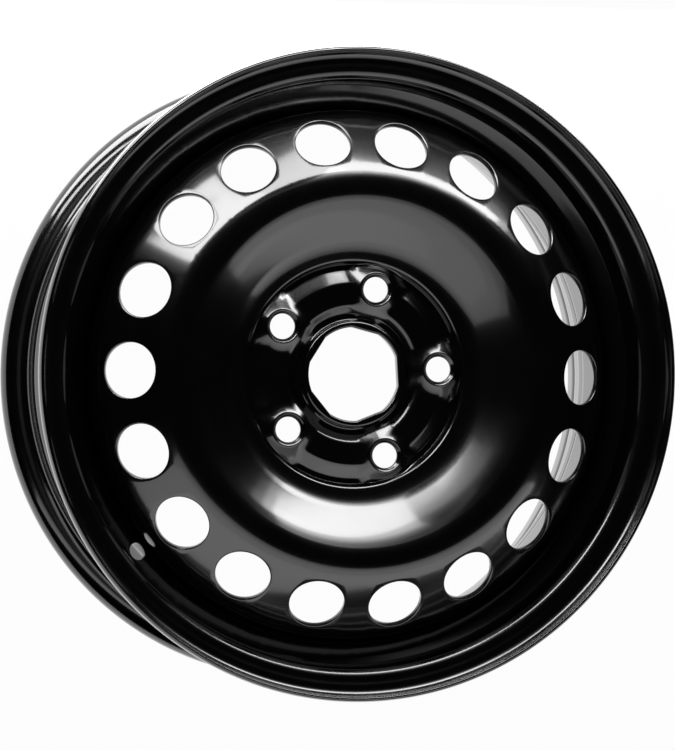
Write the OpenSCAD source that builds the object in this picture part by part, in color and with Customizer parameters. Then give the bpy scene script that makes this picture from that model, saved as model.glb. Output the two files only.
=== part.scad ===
// Pressed-steel road wheel: a rolled drop-centre rim, a stamped disc and the weld that joins them.
// The origin is the centre of the hub mounting face and +Z runs outboard along the wheel axis.

/* [Wheel] */
// Distance from the middle of the rim to the hub mounting face
wheel_offset = 52; // [35:0.5:60]

/* [Rim] */
// Diameter of the bead seats, taken at the flange faces
bead_seat_dia = 380.2; // [370:0.1:395]
// Width between the two flange faces
rim_width = 152.4; // [135:0.1:170]
// Thickness of the rolled strip
rim_t = 2.5; // [2:0.1:3.5]
// Height of a flange above the bead seat
flange_height = 17.3; // [15:0.1:20]
// Outer radius of the flange curl
curl_r = 10.5; // [8:0.1:12]
// Angle by which the curl runs on past its highest point
curl_past = 25; // [10:1:50]
// Radius in the corner between flange and bead seat
heel_r = 6.5; // [4:0.1:8]
// Taper of the bead seats
seat_taper = 5; // [3:0.5:8]
// Width of a bead seat, from the flange face to the hump
seat_w = 18.5; // [16:0.1:21]
// Rise of a safety hump above the bead seat
hump_rise = 1.2; // [0.6:0.1:2]
// Width of the slope up to the top of a hump
hump_run = 4; // [3:0.1:6]
// Bend radius on top of a hump
hump_r = 5; // [3.5:0.1:8]
// Depth of the well below the bead seats
well_depth = 17.3; // [15:0.1:20]
// Distance from the outboard flange face to the well
well_inset = 33; // [30:0.1:38]
// Width of the well bottom
well_w = 42; // [34:0.5:50]
// Bend radius at the sides of the well
well_r = 9; // [5:0.5:12]
// Drop of the inboard ledge below the bead seats
ledge_drop = 6; // [4:0.1:9]
// Width of the slope from the well to the ledge
ledge_run = 19; // [14:0.5:26]
// Bend radius at the ledge
ledge_r = 16; // [8:1:24]

/* [Valve hole] */
// Diameter of the valve hole
valve_dia = 11.3; // [8:0.1:12]
// Distance of the valve hole below the bead seat
valve_drop = 10.3; // [9:0.1:11]
// Angle of the valve hole round the wheel
valve_angle = 218.9; // [0:0.1:360]

/* [Disc] */
// Thickness of the disc sheet
disc_t = 3.6; // [3:0.1:4.5]
// Height of the stamped ring above the hub floor
ridge_rise = 4.2; // [3:0.1:6]
// Inner diameter of the stamped ring, at its foot
ridge_in_dia = 78; // [75:0.5:82]
// Outer diameter of the stamped ring, at its foot
ridge_out_dia = 133.6; // [128:0.1:138]
// Width of the stamped ring's inner side
ridge_in_side = 5.2; // [4.6:0.1:7]
// Width of the stamped ring's outer side
ridge_out_side = 8.5; // [6:0.1:10]
// Bend radius on top of the stamped ring
ridge_edge_r = 5; // [4:0.1:6]
// Bend radius at the foot of the stamped ring
ridge_foot_r = 1.8; // [1:0.1:3]
// Width of the flat floor outside the stamped ring
valley_w = 7.4; // [6:0.1:9]
// Height of the coined step at the edge of the hub floor
edge_rise = 1.2; // [0.6:0.1:1.6]
// Width of the coined step
edge_w = 0.7; // [0.4:0.1:1.2]
// Bend radius at the coined step
edge_r = 0.8; // [0.3:0.1:1.2]
// Width of the gentle slope at the foot of the bowl
foot_w = 7.3; // [5:0.1:9]
// Height of the gentle slope at the foot of the bowl
foot_rise = 1.9; // [1.4:0.1:2.6]
// Bend radius at the foot of the bowl's wall
bowl_r = 24; // [16:1:30]
// Height of the crown above the hub floor
crown_rise = 32; // [26:0.1:36]
// Width of the crown, between its inner and outer bends
crown_w = 13.6; // [10:0.1:16]
// Bend radius on the inner side of the crown
crown_in_r = 23; // [16:1:28]
// Bend radius on the outer side of the crown
crown_out_r = 15; // [9:0.5:18]
// Width of the vent band, from the crown to the flange of the disc
band_w = 41.4; // [38:0.1:45]
// Slope of the vent band
band_slope = 34.3; // [30:0.1:40]
// Bend radius between the vent band and the flange
shoulder_r = 18; // [10:0.5:20]
// Length of the disc flange that sits inside the well
flange_seat = 22; // [15:0.5:28]

/* [Vent holes] */
// Number of vent holes
vent_count = 18; // [12:1:20]
// Diameter of a vent hole
vent_dia = 35.1; // [26:0.1:37]
// Distance from a vent hole's centre to the outside of the flange
vent_inset = 21.8; // [20:0.1:24]
// Angle of the first vent hole round the wheel
vent_angle = 19.1; // [0:0.1:20]

/* [Wheel bolts] */
// Number of bolt holes
bolt_count = 5; // [4:1:5]
// Diameter of the bolt circle
bolt_circle_dia = 112; // [108:0.1:114.3]
// Angle of the first bolt hole round the wheel
bolt_angle = 75.1; // [0:0.1:72]
// Diameter of a bolt hole, below its seat
bolt_hole_dia = 16.2; // [14.5:0.1:17]
// Radius of the ball seat
seat_ball_r = 13; // [12:0.1:15]
// Diameter of the ball seat at the top of its boss
seat_mouth_dia = 22.4; // [20:0.1:23]
// Height of a bolt boss above the hub floor
boss_rise = 8.8; // [7.5:0.1:10]
// Diameter of the top of a boss
boss_top_dia = 26; // [25:0.1:28]
// Slope of the side of a boss
boss_slope = 52; // [48:1:60]
// Bend radius round the top of a boss
boss_edge_r = 2.5; // [1.5:0.1:3]
// Bend radius round the foot of a boss
boss_foot_r = 4; // [2:0.5:6]

/* [Centre bore] */
// Diameter of the round stretches of the bore
bore_dia = 60; // [58:0.1:61]
// Distance across the bore between its flats, which centre on the hub spigot
spigot_dia = 57.1; // [56:0.1:58]
// Wall of the collar round the bore
collar_wall = 3.8; // [3.4:0.1:4.5]
// Height of the collar above the hub floor
collar_rise = 6.8; // [5:0.1:8]
// Rounding of the collar's rim
collar_edge_r = 1.6; // [1:0.1:1.7]
// Rounding of the bore at the mounting face
lead_in_r = 5; // [3:0.1:6]

/* [Weld] */
// Number of weld beads
weld_count = 6; // [4:1:8]
// Angle that each weld bead covers
weld_arc = 38; // [20:1:42]
// Leg of the fillet weld along the rim
weld_leg = 4.5; // [3:0.1:6]
// Bulge of a weld bead's face
weld_bulge = 0.5; // [0.2:0.1:0.8]

/* [Hidden] */
$fn = 144;
BEND_STEPS = 5;
THROUGH = 40;
SINK = 0.4;
black_paint = [0.06, 0.06, 0.065];

// Rim section, on the tyre side, as [radius, height, bend radius]
rim_mid = -wheel_offset;
half_w = rim_width / 2;
seat_r = bead_seat_dia / 2;
well_floor_r = seat_r - well_depth;
well_out_z = half_w - well_inset;
hump_foot_r = seat_r - seat_w * tan(seat_taper);
hump_top_z = half_w - seat_w - hump_run;
hump_top = [hump_foot_r + hump_rise, hump_top_z, hump_r];
curl_turn = 90 + curl_past;
curl_centre = [seat_r + flange_height - curl_r, half_w + curl_r];
lip_end = [curl_centre.x + curl_r * cos(curl_past), curl_centre.y + curl_r * sin(curl_past), 0];
flange_half = [
    lip_end,
    [curl_centre.x + curl_r * tan(curl_turn / 2), half_w, curl_r],
    [seat_r, half_w, heel_r],
    [hump_foot_r, half_w - seat_w, hump_r + rim_t],
    hump_top,
];
well_half = [
    [well_floor_r, well_out_z, well_r],
    [well_floor_r, well_out_z - well_w, well_r],
    [seat_r - ledge_drop, well_out_z - well_w - ledge_run, ledge_r],
    [hump_foot_r - hump_rise, -hump_top_z + hump_run, ledge_r],
];
inboard_half = [for (i = [len(flange_half) - 1:-1:0]) mirrored(flange_half[i])];
rim_path = [for (p = concat(flange_half, well_half, inboard_half)) [p[0], p[1] + rim_mid, p[2]]];

// The sloping outboard side of the well, which the valve hole passes through
side_top = [hump_top[0], hump_top[1] + rim_mid];
side_foot = [well_floor_r, well_out_z + rim_mid];
side_dir = unit(side_foot - side_top);
valve_out = side_top + side_dir * (side_top.x - (seat_r - valve_drop)) / -side_dir.x;
valve_tilt = atan2(-side_dir.y, -side_dir.x);

// Disc section, on the outboard face, as [radius, height, bend radius]
flange_r = well_floor_r - rim_t;
flange_end_z = side_foot.y - flange_seat;
floor_z = disc_t;
ridge_z = floor_z + ridge_rise;
collar_z = floor_z + collar_rise;
crown_z = floor_z + crown_rise;
bore_r = bore_dia / 2;
core_r = spigot_dia / 2 - collar_edge_r;
collar_r = bore_r + collar_wall;
crown_out = flange_r - band_w;
ridge_in_r = ridge_in_dia / 2;
ridge_out_r = ridge_out_dia / 2;
hub_r = ridge_out_r + valley_w;
collar_path = [
    [core_r, collar_z, 0],
    [collar_r, collar_z, collar_edge_r],
    [collar_r + collar_edge_r / 2, floor_z, collar_edge_r],
];
ridge_path = [
    [ridge_in_r, floor_z, ridge_foot_r],
    [ridge_in_r + ridge_in_side, ridge_z, ridge_edge_r],
    [ridge_out_r - ridge_out_side, ridge_z, ridge_edge_r],
    [ridge_out_r, floor_z, ridge_foot_r],
];
step_path = [
    [hub_r, floor_z, edge_r],
    [hub_r + edge_w, floor_z + edge_rise, edge_r],
];
bowl_path = [
    [hub_r + foot_w, floor_z + foot_rise, bowl_r],
    [crown_out - crown_w, crown_z, crown_in_r],
    [crown_out, crown_z, crown_out_r],
    [flange_r, crown_z - band_w * tan(band_slope), shoulder_r],
    [flange_r, flange_end_z, 0],
];
plain_path = concat([[core_r, floor_z, 0]], ridge_path, [[hub_r, floor_z, disc_t]], bowl_path);

// Wheel bolt seats
boss_z = floor_z + boss_rise;
boss_top_r = boss_top_dia / 2;
boss_run = (boss_rise + SINK) / tan(boss_slope);
seat_centre_z = boss_z + sqrt(pow(seat_ball_r, 2) - pow(seat_mouth_dia / 2, 2));
throat_z = seat_centre_z - sqrt(pow(seat_ball_r, 2) - pow(bolt_hole_dia / 2, 2));
hollow_z = throat_z - disc_t / 2;
hollow_shift = disc_t * [sin(boss_slope), cos(boss_slope)];

function unit(v) = v / norm(v);
function flat(p) = [p[0], p[1]];
function mirrored(p) = [p[0], -p[1], p[2]];
function wrap(a) = a > 180 ? a - 360 : a < -180 ? a + 360 : a;
function left_of(v) = [-v.y, v.x];
function backwards(list) = [for (i = [len(list) - 1:-1:0]) list[i]];

// Points on a circle, from one angle through a turn
function arc(centre, r, start, turn, steps) =
    [for (i = [0:steps]) centre + r * [cos(start + turn * i / steps), sin(start + turn * i / steps)]];

// Half of the angle inside corner i of a path
function half_angle(path, i) =
    acos(unit(flat(path[i - 1]) - flat(path[i])) * unit(flat(path[i + 1]) - flat(path[i]))) / 2;

// Length of straight stretch that the bend at corner i takes up on each side
function reach(path, i) =
    i == 0 || i == len(path) - 1 ? 0 : path[i][2] / tan(half_angle(path, i));

// Share of the stretch from corner i to corner j that is left for the bend at corner i
function room(path, i, j) =
    norm(flat(path[i]) - flat(path[j])) * reach(path, i) / max(reach(path, i) + reach(path, j), SINK);

// Bend radius at corner i, limited by the straight stretches on both sides
function bend(path, i) =
    min(path[i][2], min(room(path, i, i - 1), room(path, i, i + 1)) * tan(half_angle(path, i)));

// The path with every inner corner's radius limited to what fits
function limited(path) = [
    for (i = [0:len(path) - 1])
        i == 0 || i == len(path) - 1 ? path[i] : [path[i][0], path[i][1], bend(path, i)]
];

// The bend at corner i as a list of points
function bend_points(path, i) =
    let (
        corner = flat(path[i]),
        u = unit(flat(path[i - 1]) - corner),
        v = unit(flat(path[i + 1]) - corner),
        r = path[i][2],
        half = half_angle(path, i),
        centre = corner + unit(u + v) * r / sin(half),
        p = corner + u * r / tan(half) - centre,
        q = corner + v * r / tan(half) - centre,
        start = atan2(p.y, p.x)
    )
    arc(centre, r, start, wrap(atan2(q.y, q.x) - start), BEND_STEPS);

// The outline points of a path of straight stretches and bends
function rounded(path) = [
    for (i = [0:len(path) - 1])
        each i == 0 || i == len(path) - 1 || path[i][2] == 0 ? [flat(path[i])] : bend_points(path, i)
];

// The same path moved sideways by a distance to its right, bends included
function moved(path, d) = [
    for (i = [0:len(path) - 1])
        let (
            last = len(path) - 1,
            a = unit(flat(path[max(i, 1)]) - flat(path[max(i, 1) - 1])),
            b = unit(flat(path[min(i, last - 1) + 1]) - flat(path[min(i, last - 1)])),
            shift = -d * (left_of(a) + left_of(b)) / (1 + a * b),
            turn = sign(cross(a, b)),
            r = i == 0 || i == last ? 0 : max(path[i][2] + turn * d, d / 10)
        )
        [path[i][0] + shift.x, path[i][1] + shift.y, r]
];

// A half circle that closes the edge of a sheet, clockwise from p to q
function edge_round(p, q) =
    let (centre = (p + q) / 2, out = p - centre)
    arc(centre, norm(out), atan2(out.y, out.x), -180, BEND_STEPS);

// A strip of even thickness on the right of a path, with rounded edges
function strip(path, t) =
    let (
        outer = rounded(limited(path)),
        inner = backwards(rounded(moved(limited(path), t))),
        last = len(outer) - 1
    )
    concat(outer, edge_round(outer[last], inner[0]), inner, edge_round(inner[len(inner) - 1], outer[0]));

// Places its children at each of a ring of angles
module ring(count, first) {
    for (i = [0:count - 1])
        rotate([0, 0, first + i * 360 / count])
            children();
}

// Rolled strip with two flanges, bead seats, humps and the well, pierced for the valve
module rim() {
    color(black_paint)
        difference() {
            rotate_extrude()
                polygon(strip(rim_path, rim_t));
            rotate([0, 0, valve_angle])
                translate([valve_out.x, 0, valve_out.y])
                    rotate([0, -valve_tilt, 0])
                        cylinder(d = valve_dia, h = 4 * rim_t, center = true);
        }
}

// The drawn sheet of the disc before any piercing, from the collar to the flange
module disc_sheet() {
    back = rounded(moved(limited(plain_path), disc_t));
    face = rounded(limited(concat(collar_path, ridge_path, step_path, bowl_path)));
    rotate_extrude()
        polygon(concat(face, backwards(back)));
}

// All the space under the middle of the sheet
module under_sheet() {
    middle = rounded(moved(limited(plain_path), disc_t / 2));
    rotate_extrude()
        polygon(concat(middle, [[flange_r - disc_t / 2, -THROUGH], [core_r, -THROUGH]]));
}

// Outside of a raised bolt boss, with a rounded top edge and foot
module boss() {
    side = [
        [0, boss_z, 0],
        [boss_top_r, boss_z, boss_edge_r],
        [boss_top_r + boss_run, floor_z - SINK, boss_foot_r],
        [boss_top_r + boss_run + boss_foot_r, floor_z - SINK, 0],
    ];
    rotate_extrude()
        polygon(concat(rounded(limited(side)), [[0, floor_z - SINK]]));
}

// Space behind a bolt boss, one sheet thickness inside it
module boss_hollow() {
    slope_top = [boss_top_r, boss_z] - hollow_shift;
    slope_run = [1, -tan(boss_slope)];
    top_corner = slope_top + slope_run * (slope_top.y - hollow_z) / tan(boss_slope);
    foot_corner = slope_top + slope_run * (slope_top.y + disc_t) / tan(boss_slope);
    inside = [
        [0, hollow_z, 0],
        [top_corner.x, top_corner.y, boss_edge_r],
        [foot_corner.x, foot_corner.y, 0],
    ];
    rotate_extrude()
        polygon(concat(rounded(limited(inside)), [[0, -disc_t]]));
}

// Ball seat and bolt hole, cut down through a boss
module bolt_seat() {
    translate([0, 0, seat_centre_z])
        sphere(r = seat_ball_r);
    cylinder(d = bolt_hole_dia, h = THROUGH, center = true);
}

// Bore with one flat facing each bolt, rounded at its rim and at the mounting face
module centre_bore() {
    rim_z = collar_z - collar_edge_r;
    rim_arc = arc([bore_r + collar_edge_r, rim_z], collar_edge_r, 180, -90, BEND_STEPS);
    lead_arc = arc([bore_r + lead_in_r, lead_in_r], lead_in_r, 270, -90, BEND_STEPS);
    intersection() {
        cylinder(r = bore_r, h = THROUGH, center = true);
        rotate([0, 0, bolt_angle + 180 / bolt_count])
            cylinder(r = spigot_dia / 2 / cos(180 / bolt_count), h = THROUGH, center = true, $fn = bolt_count);
    }
    rotate_extrude()
        polygon(concat([[0, rim_z]], rim_arc, [[bore_r + collar_edge_r, THROUGH], [0, THROUGH]]));
    rotate_extrude()
        polygon(concat([[0, -THROUGH], [bore_r + lead_in_r, -THROUGH]], lead_arc, [[0, lead_in_r]]));
}

// Vent hole, pierced square to the sloping band
module vent() {
    translate([flange_r - vent_inset, 0, crown_z - (band_w - vent_inset) * tan(band_slope)])
        rotate([0, band_slope, 0])
            cylinder(d = vent_dia, h = THROUGH, center = true);
}

// Stamped disc with its collar, ring, bolt bosses, bowl, crown, vent band and flange
module disc() {
    color(black_paint)
        difference() {
            union() {
                disc_sheet();
                difference() {
                    ring(bolt_count, bolt_angle)
                        translate([bolt_circle_dia / 2, 0, 0])
                            boss();
                    under_sheet();
                }
            }
            ring(bolt_count, bolt_angle)
                translate([bolt_circle_dia / 2, 0, 0]) {
                    boss_hollow();
                    bolt_seat();
                }
            ring(vent_count, vent_angle)
                vent();
            centre_bore();
        }
}

// Fillet weld beads between the end of the disc flange and the inside of the well
module weld_beads() {
    toe = [flange_r, flange_end_z - weld_leg];
    crest = [flange_r - disc_t, flange_end_z];
    along = crest - toe;
    bulge = [for (i = [0:BEND_STEPS]) let (s = i / BEND_STEPS)
        toe + along * s + weld_bulge * sin(180 * s) * unit(left_of(along))];
    color(black_paint)
        ring(weld_count, vent_angle + (360 / vent_count - weld_arc) / 2)
            rotate_extrude(angle = weld_arc)
                polygon(concat(bulge, [[flange_r, flange_end_z]]));
}

rim();
disc();
weld_beads();
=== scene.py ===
"""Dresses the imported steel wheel: smooth rim, disc and weld meshes, black paint, stage, lights and camera.

Sizes are in millimetres and meshes in metres, in the part's frame. The rim, the weld and the holes follow
the part's own sizes; the heights of the disc's face follow the reflections in the photograph.
"""

import logging
import math
from bisect import bisect_right
from dataclasses import dataclass, field
from enum import Enum
from typing import Callable, Iterable, Sequence

import bmesh
import bpy
from bmesh.types import BMEdge, BMesh, BMFace, BMVert
from mathutils import Matrix, Vector


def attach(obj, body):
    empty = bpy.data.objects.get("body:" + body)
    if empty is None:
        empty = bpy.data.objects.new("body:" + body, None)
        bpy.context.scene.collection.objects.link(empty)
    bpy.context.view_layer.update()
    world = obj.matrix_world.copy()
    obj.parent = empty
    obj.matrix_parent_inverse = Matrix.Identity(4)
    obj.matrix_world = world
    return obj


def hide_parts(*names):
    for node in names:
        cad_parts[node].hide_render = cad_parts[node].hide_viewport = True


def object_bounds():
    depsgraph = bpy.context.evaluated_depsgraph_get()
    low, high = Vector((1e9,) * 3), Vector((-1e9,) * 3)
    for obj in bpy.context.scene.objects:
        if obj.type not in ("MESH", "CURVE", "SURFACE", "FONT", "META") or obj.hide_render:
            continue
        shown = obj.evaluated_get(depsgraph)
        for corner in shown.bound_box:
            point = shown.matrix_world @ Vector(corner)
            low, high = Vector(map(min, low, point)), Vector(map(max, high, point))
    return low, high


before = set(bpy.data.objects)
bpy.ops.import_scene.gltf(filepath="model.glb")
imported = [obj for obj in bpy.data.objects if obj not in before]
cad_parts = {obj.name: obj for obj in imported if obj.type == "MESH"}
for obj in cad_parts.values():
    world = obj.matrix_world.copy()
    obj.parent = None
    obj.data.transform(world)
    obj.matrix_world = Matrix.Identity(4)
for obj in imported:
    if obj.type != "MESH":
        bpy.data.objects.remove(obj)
CAD_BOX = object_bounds()
LOG = logging.getLogger("wheel")
MM = 0.001
BODY = "root"
PHOTO_HEIGHT_PX = 750
FLANGE_R = 170.3
FLANGE_END = -30.8
DISC_SHEET = 3.6
MERGE_DISTANCE = 0.004
LEAST_REACH = 0.4
FINE_TURN_DEG, FINE_STRETCH = 2.0, 1.0
Pair = tuple[float, float]
Triple = tuple[float, float, float]
Colour = tuple[float, float, float, float]
Mark = tuple[float, ...]
Ring = tuple[float, float | None]
Loop = tuple["Table", "Table", "Table"]


class Sheet(Enum):
    """The two sides of a pressed sheet."""

    FACE = "face"
    BACK = "back"


class Slot(Enum):
    """The record's material slots."""

    RIM = "rim_paint"
    DISC = "disc_paint"
    WELD = "weld_paint"


@dataclass(frozen=True)
class Corner:
    """A corner of a section: radius from the axis, height and bend radius, in mm."""

    r: float
    z: float
    bend: float = 0.0

    @property
    def at(self) -> Vector:
        """The corner as a point of the section plane."""
        return Vector((self.r, self.z))


class Section:
    """Straight stretches joined by bends, in a plane through the axis."""

    def __init__(self, corners: Sequence[Corner]) -> None:
        """Keeps the corners in order."""
        self.corners = list(corners)

    def _half_angle(self, i: int) -> float:
        """Half of the angle inside corner i, in radians."""
        here = self.corners[i].at
        before = (self.corners[i - 1].at - here).normalized()
        after = (self.corners[i + 1].at - here).normalized()
        return math.acos(max(-1.0, min(1.0, before.dot(after)))) / 2

    def _is_end(self, i: int) -> bool:
        """Whether corner i is the first or the last one."""
        return i == 0 or i == len(self.corners) - 1

    def _reach(self, i: int) -> float:
        """Length that the bend at corner i takes from each of its stretches."""
        return 0.0 if self._is_end(i) else self.corners[i].bend / math.tan(self._half_angle(i))

    def fitted(self) -> "Section":
        """The section with each bend limited to its share of the stretches beside it."""
        out: list[Corner] = []
        for i, corner in enumerate(self.corners):
            if self._is_end(i):
                out.append(corner)
                continue
            rooms = []
            for j in (i - 1, i + 1):
                length = (corner.at - self.corners[j].at).length
                rooms.append(length * self._reach(i) / max(self._reach(i) + self._reach(j), LEAST_REACH))
            widest = min(rooms) * math.tan(self._half_angle(i))
            out.append(Corner(corner.r, corner.z, min(corner.bend, widest)))
        return Section(out)

    def shifted(self, d: float) -> "Section":
        """The parallel section at a distance d to the right of the way this one runs, bends included."""
        last = len(self.corners) - 1
        out: list[Corner] = []
        for i, corner in enumerate(self.corners):
            k = max(i, 1)
            a = (self.corners[k].at - self.corners[k - 1].at).normalized()
            k = min(i, last - 1)
            b = (self.corners[k + 1].at - self.corners[k].at).normalized()
            left = Vector((-a.y, a.x)) + Vector((-b.y, b.x))
            shift = left * (-d / (1 + a.dot(b)))
            turn = a.x * b.y - a.y * b.x
            bend = 0.0 if self._is_end(i) else max(corner.bend + math.copysign(d, turn), d / 10)
            out.append(Corner(corner.r + shift.x, corner.z + shift.y, bend))
        return Section(out)

    def points(self, turn_deg: float, stretch: float) -> list[Vector]:
        """Points along the section.

        Args:
            turn_deg: Largest turn between two points of a bend.
            stretch: Largest distance between two points of a straight stretch.
        """
        raw: list[Vector] = []
        for i, corner in enumerate(self.corners):
            raw.extend([corner.at] if self._is_end(i) or corner.bend <= 0 else self._bend(i, turn_deg))
        out = [raw[0]]
        for point in raw[1:]:
            gap = (point - out[-1]).length
            if gap < 1e-6:
                continue
            start, parts = out[-1], max(1, math.ceil(gap / stretch))
            out.extend(start.lerp(point, k / parts) for k in range(1, parts + 1))
        return out

    def _bend(self, i: int, turn_deg: float) -> list[Vector]:
        """The points of the bend at corner i."""
        corner = self.corners[i]
        u = (self.corners[i - 1].at - corner.at).normalized()
        v = (self.corners[i + 1].at - corner.at).normalized()
        half = self._half_angle(i)
        centre = corner.at + (u + v).normalized() * (corner.bend / math.sin(half))
        p = corner.at + u * (corner.bend / math.tan(half)) - centre
        q = corner.at + v * (corner.bend / math.tan(half)) - centre
        start = math.atan2(p.y, p.x)
        turn = math.remainder(math.atan2(q.y, q.x) - start, math.tau)
        steps = max(2, math.ceil(abs(math.degrees(turn)) / turn_deg))
        ways = [start + turn * k / steps for k in range(steps + 1)]
        return [centre + Vector((math.cos(w), math.sin(w))) * corner.bend for w in ways]


class Curve:
    """A finely sampled section that can be read by its length or by its radius."""

    def __init__(self, points: Sequence[Vector]) -> None:
        """Adds up the lengths along the points."""
        self.points = list(points)
        self.lengths = [0.0]
        for a, b in zip(self.points, self.points[1:]):
            self.lengths.append(self.lengths[-1] + (b - a).length)

    def at(self, s: float) -> Vector:
        """The point at length s."""
        i = min(max(bisect_right(self.lengths, s) - 1, 0), len(self.points) - 2)
        span = self.lengths[i + 1] - self.lengths[i]
        return self.points[i].lerp(self.points[i + 1], (s - self.lengths[i]) / span)

    def heights(self, low: float = 0.0, high: float = math.inf) -> "Table":
        """Height over radius, between two radii that the curve runs through once."""
        return Table(sorted((p.x, p.y) for p in self.points if low < p.x < high))

    def runs(self, low: float, high: float) -> "Table":
        """Length over radius, between two radii that the curve runs through once."""
        return Table(sorted((p.x, s) for p, s in zip(self.points, self.lengths) if low < p.x < high))


class Table:
    """A line through given points, read by its first number."""

    def __init__(self, pairs: Iterable[tuple[float, float]]) -> None:
        """Keeps the pairs whose first number rises."""
        self.keys: list[float] = []
        self.values: list[float] = []
        for key, value in pairs:
            if not self.keys or key > self.keys[-1] + 1e-9:
                self.keys.append(key)
                self.values.append(value)

    def at(self, key: float) -> float:
        """The value at a key, held at both ends."""
        i = bisect_right(self.keys, key)
        if i == 0:
            return self.values[0]
        if i == len(self.keys):
            return self.values[-1]
        w = (key - self.keys[i - 1]) / (self.keys[i] - self.keys[i - 1])
        return self.values[i - 1] + w * (self.values[i] - self.values[i - 1])


def smooth_max(a: float, b: float, blend: float) -> float:
    """The larger of two heights, with a fillet where they cross."""
    near = max(blend - abs(a - b), 0.0) / blend
    return max(a, b) + near * near * blend / 4


def polar(r: float, angle: float, z: float) -> Vector:
    """A point in metres from a radius and height in mm and an angle in radians."""
    return Vector((r * math.cos(angle), r * math.sin(angle), z)) * MM


class Opening:
    """A hole in a mesh that grows inwards ring by ring."""

    def __init__(self, bm: BMesh, faces: Sequence[BMFace]) -> None:
        """Removes a block of faces and keeps the edges round it."""
        self.bm = bm
        block = set(faces)
        self.edges = [
            e for e in {e for f in block for e in f.edges} if sum(f in block for f in e.link_faces) == 1
        ]
        bmesh.ops.delete(bm, geom=list(block), context="FACES")
        self.marks: dict[BMVert, Mark] = {}

    def mark(self, read: Callable[[BMVert], Mark]) -> None:
        """Notes something about each vertex of the first ring."""
        self.marks = {v: read(v) for v in {v for e in self.edges for v in e.verts}}

    def ring(self, place: Callable[[Mark], Vector]) -> None:
        """Adds one ring of faces; place gives a new vertex's place, in metres, from its mark."""
        made = bmesh.ops.extrude_edge_only(self.bm, edges=self.edges)["geom"]
        fresh = {g for g in made if isinstance(g, BMVert)}
        self.edges = [g for g in made if isinstance(g, BMEdge) and all(v in fresh for v in g.verts)]
        marks: dict[BMVert, Mark] = {}
        for vert in fresh:
            old = next(o for e in vert.link_edges for o in (e.other_vert(vert),) if o in self.marks)
            marks[vert] = self.marks[old]
        for vert, mark in marks.items():
            vert.co = place(mark)
        self.marks = marks

    def join(self, other: "Opening") -> None:
        """Closes the wall between this opening and another one."""
        bmesh.ops.bridge_loops(self.bm, edges=self.edges + other.edges)


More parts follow.
